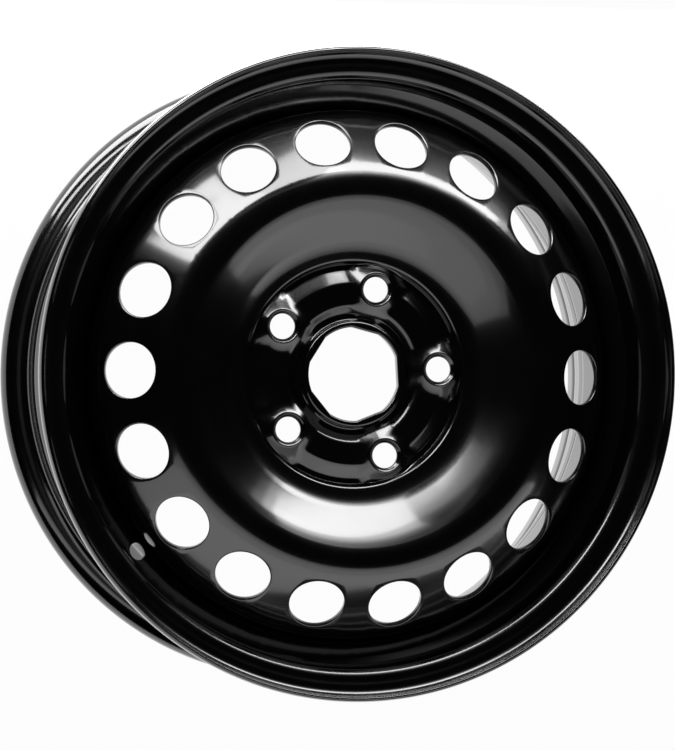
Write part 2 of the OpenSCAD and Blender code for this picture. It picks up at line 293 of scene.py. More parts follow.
@dataclass
class Pierced:
    """A round hole pierced through a spun sheet along a tilted axis, worked out once for all its copies."""

    curve: Curve
    low: float
    high: float
    centre: Vector
    tilt_deg: float
    radius: float
    samples: int = 180
    search: float = 16.0
    halvings: int = 40
    edge_steps: int = 3
    shares: Pair = (0.33, 0.67)

    def __post_init__(self) -> None:
        """Prepares the sheet's height and length over its radius, between the radii low and high."""
        self.height = self.curve.heights(self.low, self.high)
        self.run = self.curve.runs(self.low, self.high)
        tilt = math.radians(self.tilt_deg)
        self.axis = Vector((math.sin(tilt), 0.0, math.cos(tilt)))
        self.across = Vector((math.cos(tilt), 0.0, -math.sin(tilt)))
        self.centre = self._drop(Vector((self.centre.x, 0.0, self.centre.y))).xz
        self.home = self.run.at(self.centre.x)

    def _drop(self, foot: Vector) -> Vector:
        """Where a line along the hole's axis meets the sheet."""
        low, high = -self.search, self.search
        for _ in range(self.halvings):
            mid = (low + high) / 2
            p = foot + self.axis * mid
            if p.z > self.height.at(p.xy.length):
                high = mid
            else:
                low = mid
        return foot + self.axis * low

    def flat(self, vert: BMVert, angle: float) -> Mark:
        """A vertex's angle round the hole, length along the section and turn."""
        turn = math.remainder(math.atan2(vert.co.y, vert.co.x) - angle, math.tau)
        s = self.run.at(vert.co.xy.length / MM)
        return math.atan2(turn * self.centre.x, s - self.home), s, turn

    def loop(self, radius: float, sink: float = 0.0) -> Loop:
        """The hole's edge on the sheet.

        Args:
            radius: Radius of the cut, in mm.
            sink: Distance of the points below the sheet, along the axis of the hole.

        Returns:
            Tables of radius, turn and height over the angle round the hole, as seen on the flattened sheet.
        """
        origin = Vector((self.centre.x, 0.0, self.centre.y))
        rows: list[tuple[float, Vector]] = []
        for k in range(self.samples):
            way = math.tau * k / self.samples
            side = Vector((0, radius * math.sin(way), 0))
            on = self._drop(origin + self.across * (radius * math.cos(way)) + side)
            turn = math.atan2(on.y, on.x)
            flat = self.run.at(on.xy.length) - self.home
            rows.append((math.atan2(turn * self.centre.x, flat), on - self.axis * sink))
        rows.sort(key=lambda row: row[0])
        first, last = rows[0], rows[-1]
        rows = [(last[0] - math.tau, last[1])] + rows + [(first[0] + math.tau, first[1])]
        return (
            Table((a, p.xy.length) for a, p in rows),
            Table((a, math.atan2(p.y, p.x)) for a, p in rows),
            Table((a, p.z) for a, p in rows),
        )

    def edge_loops(self, edge: float, sign: float) -> list[Loop]:
        """Lines round the hole's rounded edge, from the sheet onto the wall of the hole.

        Args:
            edge: Radius of the rounded edge, in mm.
            sign: 1 where the wall runs against the axis, -1 where it runs along it.
        """
        turns = [math.pi / 2 * k / self.edge_steps for k in range(self.edge_steps + 1)]
        return [
            self.loop(self.radius + edge * (1 - math.sin(b)), sign * edge * (1 - math.cos(b))) for b in turns
        ]

    def narrow(self, hole: Opening, loops: list[Loop], angle: float) -> Opening:
        """Grows an opening in the sheet in to the hole and over the lines round its edge.

        Args:
            hole: The opening.
            loops: The lines, as edge_loops gives them.
            angle: The hole's angle round the wheel, in radians.

        Returns:
            The same opening, now at the wall of the hole.
        """
        wide = loops[0]
        hole.mark(lambda v: self.flat(v, angle))
        hole.marks = {v: m + (self.run.at(wide[0].at(m[0])),) for v, m in hole.marks.items()}
        for w in self.shares:
            def between(mark: Mark, w: float = w) -> Vector:
                """A place on the sheet between the block and the hole."""
                way, s, turn, goal = mark
                on = self.curve.at(s + (goal - s) * w)
                return polar(on.x, angle + turn + (wide[1].at(way) - turn) * w, on.y)
            hole.ring(between)
        for loop in loops:
            hole.ring(lambda m, t=loop: polar(t[0].at(m[0]), angle + t[1].at(m[0]), t[2].at(m[0])))
        return hole


def block(
    bm: BMesh, split: float, side: Sheet, angle: float, turn: float, inside: Callable[[Vector], bool]
) -> list[BMFace]:
    """Finds the faces of one side of a spun sheet that lie round a hole.

    Args:
        bm: The sheet, with the length along its section in the layer "s".
        split: Length along the section at which the back starts.
        side: The side of the sheet.
        angle: Angle of the hole, in radians.
        turn: Largest turn of a face from the hole, in radians.
        inside: Whether a face counts, from the radius and height of its middle in mm.
    """
    layer = bm.verts.layers.float["s"]
    out: list[BMFace] = []
    for f in bm.faces:
        c = f.calc_center_median() / MM
        near = abs(math.remainder(math.atan2(c.y, c.x) - angle, math.tau)) < turn
        front = sum(v[layer] for v in f.verts) / len(f.verts) < split
        if near and front == (side is Sheet.FACE) and inside(Vector((c.xy.length, c.z))):
            out.append(f)
    return out


Cut = tuple[Pierced, list[BMFace], float, float]


def pierce(bm: BMesh, angle: float, sides: Sequence[Cut]) -> None:
    """Opens a round hole through both sides of a sheet and closes its wall.

    Args:
        bm: The sheet.
        angle: The hole's angle round the wheel, in radians.
        sides: For each side its cut, the faces to remove, and the radius and sign of the hole's edge.
    """
    face, back = (
        cut.narrow(Opening(bm, faces), cut.edge_loops(edge, sign), angle) for cut, faces, edge, sign in sides
    )
    face.join(back)


def sector(
    points: Sequence[Vector], lengths: Sequence[float], start: float, turn: float, steps: int
) -> BMesh:
    """Spins a section through part of a turn.

    Args:
        points: The section's points; a closed section repeats its first point.
        lengths: Length along the section at each point, kept on each vertex as the layer "s".
        start: Angle of the first copy, in radians.
        turn: Angle of the spin, in radians.
        steps: Number of steps in the spin.
    """
    bm = bmesh.new()
    layer = bm.verts.layers.float.new("s")
    row: list[BMVert] = []
    for point, s in zip(points, lengths):
        vert = bm.verts.new(polar(point.x, start, point.y))
        vert[layer] = s
        row.append(vert)
    edges = [bm.edges.new(pair) for pair in zip(row, row[1:])]
    bmesh.ops.spin(
        bm, geom=row + edges, cent=(0, 0, 0), axis=(0, 0, 1), angle=turn, steps=steps, use_merge=False)
    return bm


def repeat(bm: BMesh, copies: int, step: float) -> None:
    """Adds a number of turned copies of a whole mesh, a step in radians apart."""
    geom = bm.verts[:] + bm.edges[:] + bm.faces[:]
    bmesh.ops.spin(
        bm, geom=geom, cent=(0, 0, 0), axis=(0, 0, 1), angle=step * copies, steps=copies, use_duplicate=True)


def take_in(bm: BMesh, other: BMesh) -> None:
    """Adds another mesh to a mesh and frees it."""
    mesh = bpy.data.meshes.new("half_made")
    other.to_mesh(mesh)
    other.free()
    bm.from_mesh(mesh)
    bpy.data.meshes.remove(mesh)


def finish_piece(bm: BMesh, name: str, node: str, slot: Slot) -> bpy.types.Object:
    """Turns a mesh into a piece that stands for a node.

    Args:
        bm: The finished mesh, which is freed.
        name: The piece's name.
        node: The node that it replaces.
        slot: The record's material slot; not used.

    Returns:
        The new object, at the origin.
    """
    bmesh.ops.remove_doubles(bm, verts=bm.verts[:], dist=MERGE_DISTANCE * MM)
    bmesh.ops.recalc_face_normals(bm, faces=bm.faces[:])
    for face in bm.faces:
        face.smooth = True
    mesh = bpy.data.meshes.new(name)
    bm.to_mesh(mesh)
    bm.free()
    piece = bpy.data.objects.new(name, mesh)
    bpy.context.scene.collection.objects.link(piece)
    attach(piece, BODY)
    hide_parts(node)
    LOG.info("%s: %d faces", name, len(mesh.polygons))
    return piece


@dataclass
class Rim:
    """The rolled strip: flanges, bead seats, humps and well, pierced for the valve."""

    offset: float = 52.0
    seat_r: float = 190.1
    width: float = 152.4
    sheet: float = 2.5
    flange_height: float = 17.3
    curl_r: float = 10.5
    curl_past: float = 25.0
    heel_r: float = 6.5
    seat_taper: float = 5.0
    seat_w: float = 18.5
    hump_rise: float = 1.2
    hump_run: float = 4.0
    hump_r: float = 5.0
    well_depth: float = 17.3
    well_inset: float = 33.0
    well_w: float = 42.0
    well_r: float = 9.0
    ledge_drop: float = 6.0
    ledge_run: float = 19.0
    ledge_r: float = 16.0
    valve_dia: float = 11.3
    valve_drop: float = 10.3
    valve_angle: float = 218.9
    hump_corner: int = 4
    valve_edge: float = 0.5
    valve_turn: float = 0.0655
    valve_reach: float = 8.4
    sectors: int = 36
    steps: int = 8
    lip_steps: int = 8
    turn_deg: float = 8.0
    stretch: float = 5.0

    @property
    def well_floor(self) -> float:
        """Radius of the well on the tyre side."""
        return self.seat_r - self.well_depth

    @property
    def well_top(self) -> float:
        """Height of the outboard corner of the well."""
        return self.width / 2 - self.well_inset - self.offset

    def section(self) -> Section:
        """The tyre side of the strip, from the outboard lip to the inboard one."""
        half = self.width / 2
        past = math.radians(self.curl_past)
        foot_r = self.seat_r - self.seat_w * math.tan(math.radians(self.seat_taper))
        top_z = half - self.seat_w - self.hump_run
        curl = Vector((self.seat_r + self.flange_height - self.curl_r, half + self.curl_r))
        reach = self.curl_r * math.tan((math.pi / 2 + past) / 2)
        flange = [
            Corner(curl.x + self.curl_r * math.cos(past), curl.y + self.curl_r * math.sin(past)),
            Corner(curl.x + reach, half, self.curl_r),
            Corner(self.seat_r, half, self.heel_r),
            Corner(foot_r, half - self.seat_w, self.hump_r + self.sheet),
            Corner(foot_r + self.hump_rise, top_z, self.hump_r),
        ]
        low = half - self.well_inset
        well = [
            Corner(self.well_floor, low, self.well_r),
            Corner(self.well_floor, low - self.well_w, self.well_r),
            Corner(self.seat_r - self.ledge_drop, low - self.well_w - self.ledge_run, self.ledge_r),
            Corner(foot_r - self.hump_rise, -top_z + self.hump_run, self.ledge_r),
        ]
        inboard = [Corner(c.r, -c.z, c.bend) for c in reversed(flange)]
        return Section([Corner(c.r, c.z - self.offset, c.bend) for c in flange + well + inboard]).fitted()

    def valve_place(self) -> tuple[Vector, float]:
        """Where the valve hole pierces the tyre side, and its axis's tilt in degrees."""
        first = self.hump_corner
        top, foot = (corner.at for corner in self.section().corners[first:first + 2])
        way = (foot - top).normalized()
        at = top + way * ((top.x - (self.seat_r - self.valve_drop)) / -way.x)
        return at, -math.degrees(math.atan2(-way.y, -way.x))

    def build(self) -> bpy.types.Object:
        """Spins the strip with its rounded lips and pierces it."""
        outer = self.section()
        inner = outer.shifted(self.sheet)
        face = outer.points(self.turn_deg, self.stretch)
        back = list(reversed(inner.points(self.turn_deg, self.stretch)))
        ring = face + self._lip(face[-1], back[0]) + back + self._lip(back[-1], face[0]) + [face[0]]
        lengths = Curve(ring).lengths
        part = math.tau / self.sectors
        start = math.radians(self.valve_angle) - part / 2
        bm = sector(ring, lengths, start, part, self.steps)
        fine = [Curve(side.points(FINE_TURN_DEG, FINE_STRETCH)) for side in (outer, inner)]
        self._pierce(bm, lengths[len(face)], *fine)
        plain = sector(ring, lengths, start + part, part, self.steps)
        repeat(plain, self.sectors - 2, part)
        take_in(bm, plain)
        return finish_piece(bm, "rim_strip", "rim", Slot.RIM)

    def _lip(self, a: Vector, b: Vector) -> list[Vector]:
        """The half round between two edges of the strip, without its ends."""
        centre = (a + b) / 2
        arm = a - centre
        turns = [-math.pi * k / self.lip_steps for k in range(1, self.lip_steps)]
        return [centre + Matrix.Rotation(turn, 2) @ arm for turn in turns]

    def _pierce(self, bm: BMesh, split: float, outer: Curve, inner: Curve) -> None:
        """Cuts the valve hole through the side of the well; the inner side starts at the length split."""
        at, tilt = self.valve_place()
        angle = math.radians(self.valve_angle)
        sides: list[Cut] = []
        for side, curve, low, sign in (
            (Sheet.FACE, outer, self.well_floor, -1.0), (Sheet.BACK, inner, self.well_floor - self.sheet, 1.0)
        ):
            hole = Pierced(self._side_of_well(curve), low + 0.001, self.seat_r, at, tilt, self.valve_dia / 2)
            faces = block(
                bm, split, side, angle, self.valve_turn,
                lambda p, c=hole.centre: (p - c).length < self.valve_reach)
            sides.append((hole, faces, self.valve_edge, sign))
        pierce(bm, angle, sides)

    def _side_of_well(self, curve: Curve) -> Curve:
        """The stretch of a side of the strip that runs down from the outboard hump to the well."""
        top = self.width / 2 - self.seat_w - self.hump_run - self.offset
        low = self.well_top - self.well_r
        side = [p for p in curve.points if low < p.y < top + self.hump_run / 2 and p.x < self.seat_r - 1]
        return Curve(side)


def closer(points: list[Vector], low: float, high: float, stretch: float) -> list[Vector]:
    """Adds points to a section between two radii, so that none there are more than a stretch apart."""
    out = [points[0]]
    for point in points[1:]:
        start = out[-1]
        within = low < start.x < high and low < point.x < high
        parts = max(1, math.ceil((point - start).length / stretch)) if within else 1
        out.extend(start.lerp(point, k / parts) for k in range(1, parts + 1))
    return out


@dataclass
class Disc:
    """The stamped disc: collar, ring, bolt seats, bowl, crown, vent band and flange."""

    flange_r: float = FLANGE_R
    flange_end: float = FLANGE_END
    sheet: float = DISC_SHEET
    ridge_rise: float = 4.2
    ridge_in: float = 39.0
    ridge_out: float = 66.8
    ridge_in_side: float = 5.2
    ridge_out_side: float = 8.5
    ridge_edge: float = 5.0
    ridge_foot: float = 1.8
    hub_r: float = 74.2
    edge_in: float = 70.4
    edge_rise: float = 5.5
    edge_w: float = 2.0
    edge_foot: float = 0.3
    edge_top: float = 3.2
    foot_w: float = 7.4
    foot_rise: float = 8.0
    bowl_r: float = 22.0
    brow_in: float = 105.6
    brow_rise: float = 27.5
    brow_r: float = 75.0
    crown_in: float = 121.5
    crown_rise: float = 32.0
    crown_r: float = 20.0
    band_w: float = 41.4
    band_slope: float = 34.3
    shoulder_r: float = 18.0
    vent_count: int = 18
    vent_dia: float = 35.1
    vent_inset: float = 21.8
    vent_angle: float = 19.1
    vent_edge: float = 0.9
    vent_back_edge: float = 0.3
    vent_turn_deg: float = 8.0
    vent_from: float = 118.0
    vent_face_from: float = 127.2
    vent_back_from: float = 124.7
    vent_gap: float = 0.4
    bolt_count: int = 5
    bolt_circle_r: float = 56.0
    bolt_angle: float = 75.1
    bolt_hole_r: float = 8.1
    ball_r: float = 13.0
    mouth_r: float = 10.2
    boss_rise: float = 7.2
    boss_top_r: float = 10.9
    boss_slope: float = 35.0
    boss_edge_r: float = 1.6
    boss_blend: float = 2.6
    boss_drop: float = 24.0
    boss_reach: float = 27.0
    boss_start: float = 0.4
    seat_block: Triple = (16.0, 41.5, 69.9)
    seat_shares: Triple = (0.34, 0.67, 1.0)
    seat_foot: float = 13.2
    seat_edge: float = 0.35
    seat_edge_degs: Mark = (15.0, 35.0, 55.0, 75.0)
    seat_steps: int = 6
    flank_step: float = 0.62
    top_step: float = 0.3
    hole_edge: float = 0.08
    hollow_blend: float = 1.2
    hollow_drop: float = 14.0
    hollow_block: Triple = (18.0, 39.0, 73.5)
    hollow_shares: Pair = (0.5, 1.0)
    hollow_foot: float = 15.6
    hollow_rings: Mark = (14.6, 13.8, 13.1, 12.4, 11.7, 11.0, 9.6, 8.4)
    hollow_turn_deg: float = 3.0
    bore_r: float = 30.0
    spigot_r: float = 28.55
    collar_wall: float = 3.8
    collar_rise: float = 6.8
    collar_edge: float = 1.6
    lead_in: float = 5.0
    seam_r: float = 96.0
    shoulder_z: float = -6.0
    shoulder_lap: float = 3.0
    end_edge: float = 0.9
    end_lap: float = 4.0
    front_steps: Pair = (8.0, 3.4)
    hub_stretch: float = 1.4
    end_steps: Pair = (30.0, 7.0)
    rear_steps: Pair = (15.0, 6.0)
    steps: int = 360
    split: float = field(init=False)
    face_curve: Curve = field(init=False)
    back_curve: Curve = field(init=False)

    def face_section(self) -> Section:
        """The outboard side, from the bore to the end of the flange."""
        collar = self.bore_r + self.collar_wall
        top = self.sheet + self.collar_rise
        return Section([
            Corner(self.spigot_r - self.collar_edge, top),
            Corner(collar, top, self.collar_edge),
            Corner(collar + self.collar_edge / 2, self.sheet, self.collar_edge),
        ] + self._ridge_corners() + [
            Corner(self.edge_in, self.sheet, self.edge_foot),
            Corner(self.edge_in + self.edge_w, self.sheet + self.edge_rise, self.edge_top),
        ] + self._bowl_corners()).fitted()

    def back_section(self) -> Section:
        """The inboard side, one sheet thickness behind the outboard one."""
        start = Corner(self.spigot_r - self.collar_edge, self.sheet)
        edge = Corner(self.hub_r, self.sheet, self.sheet)
        corners = [start] + self._ridge_corners() + [edge] + self._bowl_corners()
        return Section(corners).fitted().shifted(self.sheet)

    def _ridge_corners(self) -> list[Corner]:
        """Corners of the outboard side over the stamped ring."""
        top = self.sheet + self.ridge_rise
        return [
            Corner(self.ridge_in, self.sheet, self.ridge_foot),
            Corner(self.ridge_in + self.ridge_in_side, top, self.ridge_edge),
            Corner(self.ridge_out - self.ridge_out_side, top, self.ridge_edge),
            Corner(self.ridge_out, self.sheet, self.ridge_foot),
        ]

    def _bowl_corners(self) -> list[Corner]:
        """Corners of the outboard side from the foot of the bowl to the end of the flange."""
        fall = math.tan(math.radians(self.band_slope))
        low = self.sheet + self.crown_rise - self.band_w * fall
        return [
            Corner(self.hub_r + self.foot_w, self.sheet + self.foot_rise, self.bowl_r),
            Corner(self.brow_in, self.sheet + self.brow_rise, self.brow_r),
            Corner(self.crown_in, low + (self.flange_r - self.crown_in) * fall, self.crown_r),
            Corner(self.flange_r, low, self.shoulder_r),
            Corner(self.flange_r, self.flange_end),
        ]

    def build(self) -> bpy.types.Object:
        """Spins the sheet, raises the bolt seats and pierces all the holes."""
        face, back = self.face_section(), self.back_section()
        self.face_curve = Curve(face.points(FINE_TURN_DEG, FINE_STRETCH))
        self.back_curve = Curve(back.points(FINE_TURN_DEG, FINE_STRETCH))
        top = self.sheet + self.collar_rise
        mid = Corner(self.bore_r, top / 2)
        end, inner = self.flange_end, self.flange_r - self.sheet
        low = Corner(self.flange_r, self.shoulder_z - self.shoulder_lap)
        lap = Corner(inner, end + self.end_lap)
        front = closer(Section(
            [mid, Corner(self.bore_r, top, self.collar_edge)] + face.corners[1:-1] + [low]
        ).points(*self.front_steps), self.ridge_in, self.edge_in, self.hub_stretch)
        front += Section([
            low, Corner(self.flange_r, end, self.end_edge), Corner(inner, end, self.end_edge), lap
        ]).points(*self.end_steps)[1:]
        rear = Section(
            [lap] + list(reversed(back.corners[1:-1])) + [Corner(self.bore_r, 0.0, self.lead_in), mid]
        ).points(*self.rear_steps)
        ring = front + rear[1:]
        lengths = Curve(ring).lengths
        self.split = lengths[len(front) - 2]
        near = [i for i, p in enumerate(ring) if p.x < self.seam_r]
        out = next(i for i in near if i + 1 not in near)
        back_in = next(i for i in near if i > out)
        hub = self._shares(
            ring[back_in:] + ring[1:out + 1], lengths[back_in:] + lengths[1:out + 1],
            self.bolt_count, self.bolt_angle, (self._flatten_bore, self._raise_boss, self._pierce_bolt))
        band = self._shares(
            ring[out:back_in + 1], lengths[out:back_in + 1],
            self.vent_count, self.vent_angle, (self._pierce_vent,))
        take_in(hub, band)
        return finish_piece(hub, "disc_pressing", "disc", Slot.DISC)

    def _shares(
        self, points: list[Vector], lengths: list[float], count: int, angle_deg: float,
        works: Sequence[Callable[[BMesh], None]]
    ) -> BMesh:
        """Spins one hole's share of a ring of the disc, does its works, then adds the other shares."""
        part = math.tau / count
        start = math.radians(angle_deg) - part / 2
        bm = sector(points, lengths, start, part, self.steps // count)
        for work in works:
            work(bm)
        repeat(bm, count - 1, part)
        return bm

    def _flatten_bore(self, bm: BMesh) -> None:
        """Brings the bore in to its flats, one facing each bolt."""
        for vert in bm.verts:
            r = vert.co.xy.length / MM
            if r > self.bore_r + self.lead_in:
                continue
            angle = math.atan2(vert.co.y, vert.co.x)
            _, off = self._bolt(angle)
            cut = min(0.0, self.spigot_r / math.cos(off) - self.bore_r)
            reach = self.collar_wall if vert.co.z / MM > self.lead_in else self.lead_in
            hold = max(0.0, min(1.0, (self.bore_r + reach - r) / (reach - 0.4 * self.collar_edge)))
            vert.co = polar(r + cut * hold, angle, vert.co.z / MM)

    def _bump(self, side: Sheet) -> Table:
        """Height of a bolt boss, or of the hollow behind it, over the distance from its axis."""
        slope = math.radians(self.boss_slope)
        edge, top = self.boss_top_r, self.sheet + self.boss_rise
        drop, turn_deg = self.boss_drop, FINE_TURN_DEG
        if side is Sheet.BACK:
            inner = Vector((edge, top)) - self.sheet * Vector((math.sin(slope), math.cos(slope)))
            top = self._throat() - self.sheet / 2
            edge = inner.x + (inner.y - top) / math.tan(slope)
            drop, turn_deg = self.hollow_drop, self.hollow_turn_deg
        foot = Corner(edge + drop / math.tan(slope), top - drop)
        flank = Section([Corner(0.0, top), Corner(edge, top, self.boss_edge_r), foot])
        return Curve(flank.points(turn_deg, FINE_STRETCH)).heights()

    def _ball_z(self) -> float:
        """Height of the centre of a ball seat."""
        return self.sheet + self.boss_rise + math.sqrt(self.ball_r ** 2 - self.mouth_r ** 2)

    def _throat(self) -> float:
        """Height at which a ball seat runs into its hole."""
        return self._ball_z() - math.sqrt(self.ball_r ** 2 - self.bolt_hole_r ** 2)

    def _bolt(self, angle: float) -> Pair:
        """The nearest bolt's angle and the turn from it, in radians."""
        step = math.tau / self.bolt_count
        off = math.remainder(angle - math.radians(self.bolt_angle), step)
        return angle - off, off

    def _from_bolt(self, r: float, off: float) -> Pair:
        """Way round a bolt's axis and distance from it, from radius and turn."""
        x, y = r * math.cos(off) - self.bolt_circle_r, r * math.sin(off)
        return math.atan2(y, x), math.hypot(x, y)

    def _hub_height(self, side: Sheet) -> Callable[[float, float], float]:
        """Height of one side of the hub over radius and turn from the nearest bolt."""
        front = side is Sheet.FACE
        first = self.bore_r + self.collar_wall + self.collar_edge
        points = (self.face_curve if front else self.back_curve).points
        sheet = Table((p.x, p.y) for p in points if first < p.x < self.brow_in)
        bump = self._bump(side)
        blend = self.boss_blend if front else self.hollow_blend

        def height(r: float, off: float) -> float:
            """Sheet and boss, with a fillet between them."""
            return smooth_max(sheet.at(r), bump.at(self._from_bolt(r, off)[1]), blend)

        return height

    def _raise_boss(self, bm: BMesh) -> None:
        """Lifts the sheet round a bolt."""
        layer = bm.verts.layers.float["s"]
        heights = {side: self._hub_height(side) for side in Sheet}
        first = self.bore_r + self.collar_wall + self.collar_edge + self.boss_start
        for vert in bm.verts:
            r = vert.co.xy.length / MM
            _, off = self._bolt(math.atan2(vert.co.y, vert.co.x))
            if self._from_bolt(r, off)[1] > self.boss_reach or r < first:
                continue
            side = Sheet.FACE if vert[layer] < self.split else Sheet.BACK
            vert.co.z = heights[side](r, off) * MM

    def _block(
        self, bm: BMesh, side: Sheet, angle: float, turn_deg: float, low: float, high: float
    ) -> list[BMFace]:
        """Faces of one side round a hole, between two radii in mm."""
        return block(
            bm, self.split, side, angle, math.radians(turn_deg),
            lambda p: low < p.x < high and p.y > self.shoulder_z)

    def _pierce_bolt(self, bm: BMesh) -> None:
        """Opens a bolt seat through its boss."""
        angle = math.radians(self.bolt_angle)
        over = self._block(bm, Sheet.FACE, angle, *self.seat_block)
        under = self._block(bm, Sheet.BACK, angle, *self.hollow_block)
        self._grow(
            Opening(bm, over), Sheet.FACE, self.seat_foot, self.seat_shares, self._seat_rings()
        ).join(self._grow(
            Opening(bm, under), Sheet.BACK, self.hollow_foot, self.hollow_shares, self._hollow_rings()))

    def _mark_bolt(self, vert: BMVert) -> Mark:
        """A vertex's bolt angle, way from the bolt's axis and distance from it."""
        bolt, off = self._bolt(math.atan2(vert.co.y, vert.co.x))
        return bolt, *self._from_bolt(vert.co.xy.length / MM, off)

    def _at_bolt(
        self, mark: Mark, away: float, height: Callable[[float, float], float] | float
    ) -> Vector:
        """A place at a distance from a bolt's axis, at a given height or on the hub."""
        bolt, way, _ = mark
        x, y = self.bolt_circle_r + away * math.cos(way), away * math.sin(way)
        r, off = math.hypot(x, y), math.atan2(y, x)
        return polar(r, bolt + off, height if isinstance(height, float) else height(r, off))

    def _grow(
        self, hole: Opening, side: Sheet, foot: float, shares: Sequence[float], rings: Sequence[Ring]
    ) -> Opening:
        """Grows an opening in towards a bolt's axis.

        Args:
            hole: The opening in the hub.
            side: The side of the sheet that it is in.
            foot: Distance from the bolt's axis at which the first rings end, in mm.
            shares: How far each of the first rings goes towards that.
            rings: Distance and height of each further ring, in mm; one without a height lies on the hub.
        """
        hole.mark(self._mark_bolt)
        height = self._hub_height(side)
        for share in shares:
            hole.ring(lambda m, w=share: self._at_bolt(m, m[2] + (foot - m[2]) * w, height))
        for away, z in rings:
            hole.ring(lambda m, a=away, z=z: self._at_bolt(m, a, height if z is None else z))
        return hole

    def _seat_rings(self) -> list[Ring]:
        """Rings over a boss and down its ball seat."""
        rings: list[Ring] = []
        away = self.seat_foot
        while away > self.mouth_r + 1.0:
            away -= self.flank_step if away > self.boss_top_r + 1.4 else self.top_step
            rings.append((away, None))
        top, edge = self.sheet + self.boss_rise, self.seat_edge
        for beta in map(math.radians, self.seat_edge_degs):
            rings.append((self.mouth_r + edge * (1 - math.sin(beta)), top - edge * (1 - math.cos(beta))))
        for k in range(1, self.seat_steps + 1):
            r = self.mouth_r + (self.bolt_hole_r + 0.25 - self.mouth_r) * k / self.seat_steps
            rings.append((r, self._ball_z() - math.sqrt(self.ball_r ** 2 - r ** 2)))
        throat = self._throat()
        return rings + [
            (self.bolt_hole_r + self.hole_edge, throat - 0.1), (self.bolt_hole_r, throat - self.seat_edge)]

    def _hollow_rings(self) -> list[Ring]:
        """Rings over the hollow behind a boss and into its hole."""
        low = self._throat() - self.sheet / 2
        rings: list[Ring] = [(away, None) for away in self.hollow_rings]
        return rings + [(self.bolt_hole_r + self.hole_edge, low + 0.06), (self.bolt_hole_r, low + 0.3)]

    def _pierce_vent(self, bm: BMesh) -> None:
        """Opens a vent hole through the sloping band."""
        angle = math.radians(self.vent_angle)
        crown = self.sheet + self.crown_rise
        drop = (self.band_w - self.vent_inset) * math.tan(math.radians(self.band_slope))
        centre = Vector((self.flange_r - self.vent_inset, crown - drop))
        inner = self.flange_r - self.sheet
        sides: list[Cut] = []
        for side, curve, low, high, edge, sign in (
            (Sheet.FACE, self.face_curve, self.vent_face_from, self.flange_r, self.vent_edge, 1.0),
            (Sheet.BACK, self.back_curve, self.vent_back_from, inner, self.vent_back_edge, -1.0),
        ):
            hole = Pierced(curve, self.vent_from, high, centre, self.band_slope, self.vent_dia / 2)
            faces = self._block(bm, side, angle, self.vent_turn_deg, low, high - self.vent_gap)
            sides.append((hole, faces, edge, sign))
        pierce(bm, angle, sides)


@dataclass
class WeldBeads:
    """The fillet weld between the disc's flange and the inside of the well."""

    flange_r: float = FLANGE_R
    flange_end: float = FLANGE_END
    sheet: float = DISC_SHEET
    leg: float = 4.5
    bulge: float = 0.5
    count: int = 6
    arc: float = 38.0
    first: float = 10.1
    ripple: float = 0.08
    ripple_pitch: float = 1.6
    ripple_bow: float = 0.08
    face_steps: int = 8
    steps: int = 150
    end_share: float = 0.35
    end_run: float = 4.0
    toe_fade: float = 0.8

    def build(self) -> bpy.types.Object:
        """Spins each bead through its arc, then ripples and tapers it."""
        bm = bmesh.new()
        for k in range(self.count):
            self._bead(bm, math.radians(self.first + 360 / self.count * k))
        return finish_piece(bm, "weld_fillets", "weld_beads", Slot.WELD)

    def _bead(self, bm: BMesh, start: float) -> None:
        """Adds one bead that starts at an angle."""
        toe = Vector((self.flange_r, self.flange_end - self.leg))
        crest = Vector((self.flange_r - self.sheet, self.flange_end))
        along = crest - toe
        out = Vector((-along.y, along.x)).normalized()
        shares = [i / self.face_steps for i in range(self.face_steps + 1)]
        face = [toe + along * w + out * (self.bulge * math.sin(math.pi * w)) for w in shares]
        root = Vector((self.flange_r, self.flange_end))
        ring = [bm.verts.new(polar(p.x, start, p.y)) for p in face + [root]]
        profile = bm.faces.new(ring)
        arc = math.radians(self.arc)
        before = set(bm.verts)
        made = bmesh.ops.spin(
            bm, geom=[profile], cent=(0, 0, 0), axis=(0, 0, 1), angle=arc, steps=self.steps, use_merge=False)
        mine = (set(bm.verts) - before) | set(ring) | {g for g in made["geom_last"] if isinstance(g, BMVert)}
        for vert in mine:
            self._shape(vert, root, start, arc)

    def _shape(self, vert: BMVert, root: Vector, start: float, arc: float) -> None:
        """Moves a vertex towards or away from the root of its bead."""
        angle = math.atan2(vert.co.y, vert.co.x)
        turn = math.remainder(angle - start, math.tau)
        spot = Vector((vert.co.xy.length / MM, vert.co.z / MM))
        run = turn * self.flange_r
        arm = spot - root
        if arm.length < 0.01:
            return
        end = min(turn, arc - turn) * self.flange_r
        grown = math.sqrt(max(0.0, min(1.0, end / self.end_run)))
        taper = self.end_share + (1.0 - self.end_share) * grown
        wave = abs(math.sin(math.pi * (run + self.ripple_bow * arm.x * arm.y) / self.ripple_pitch))
        open_face = min(1.0, max(0.0, min(-arm.x, -arm.y)) / self.toe_fade)
        spot = root + arm * (taper * (1.0 - self.ripple * wave * open_face))
        vert.co = polar(spot.x, angle, spot.y)


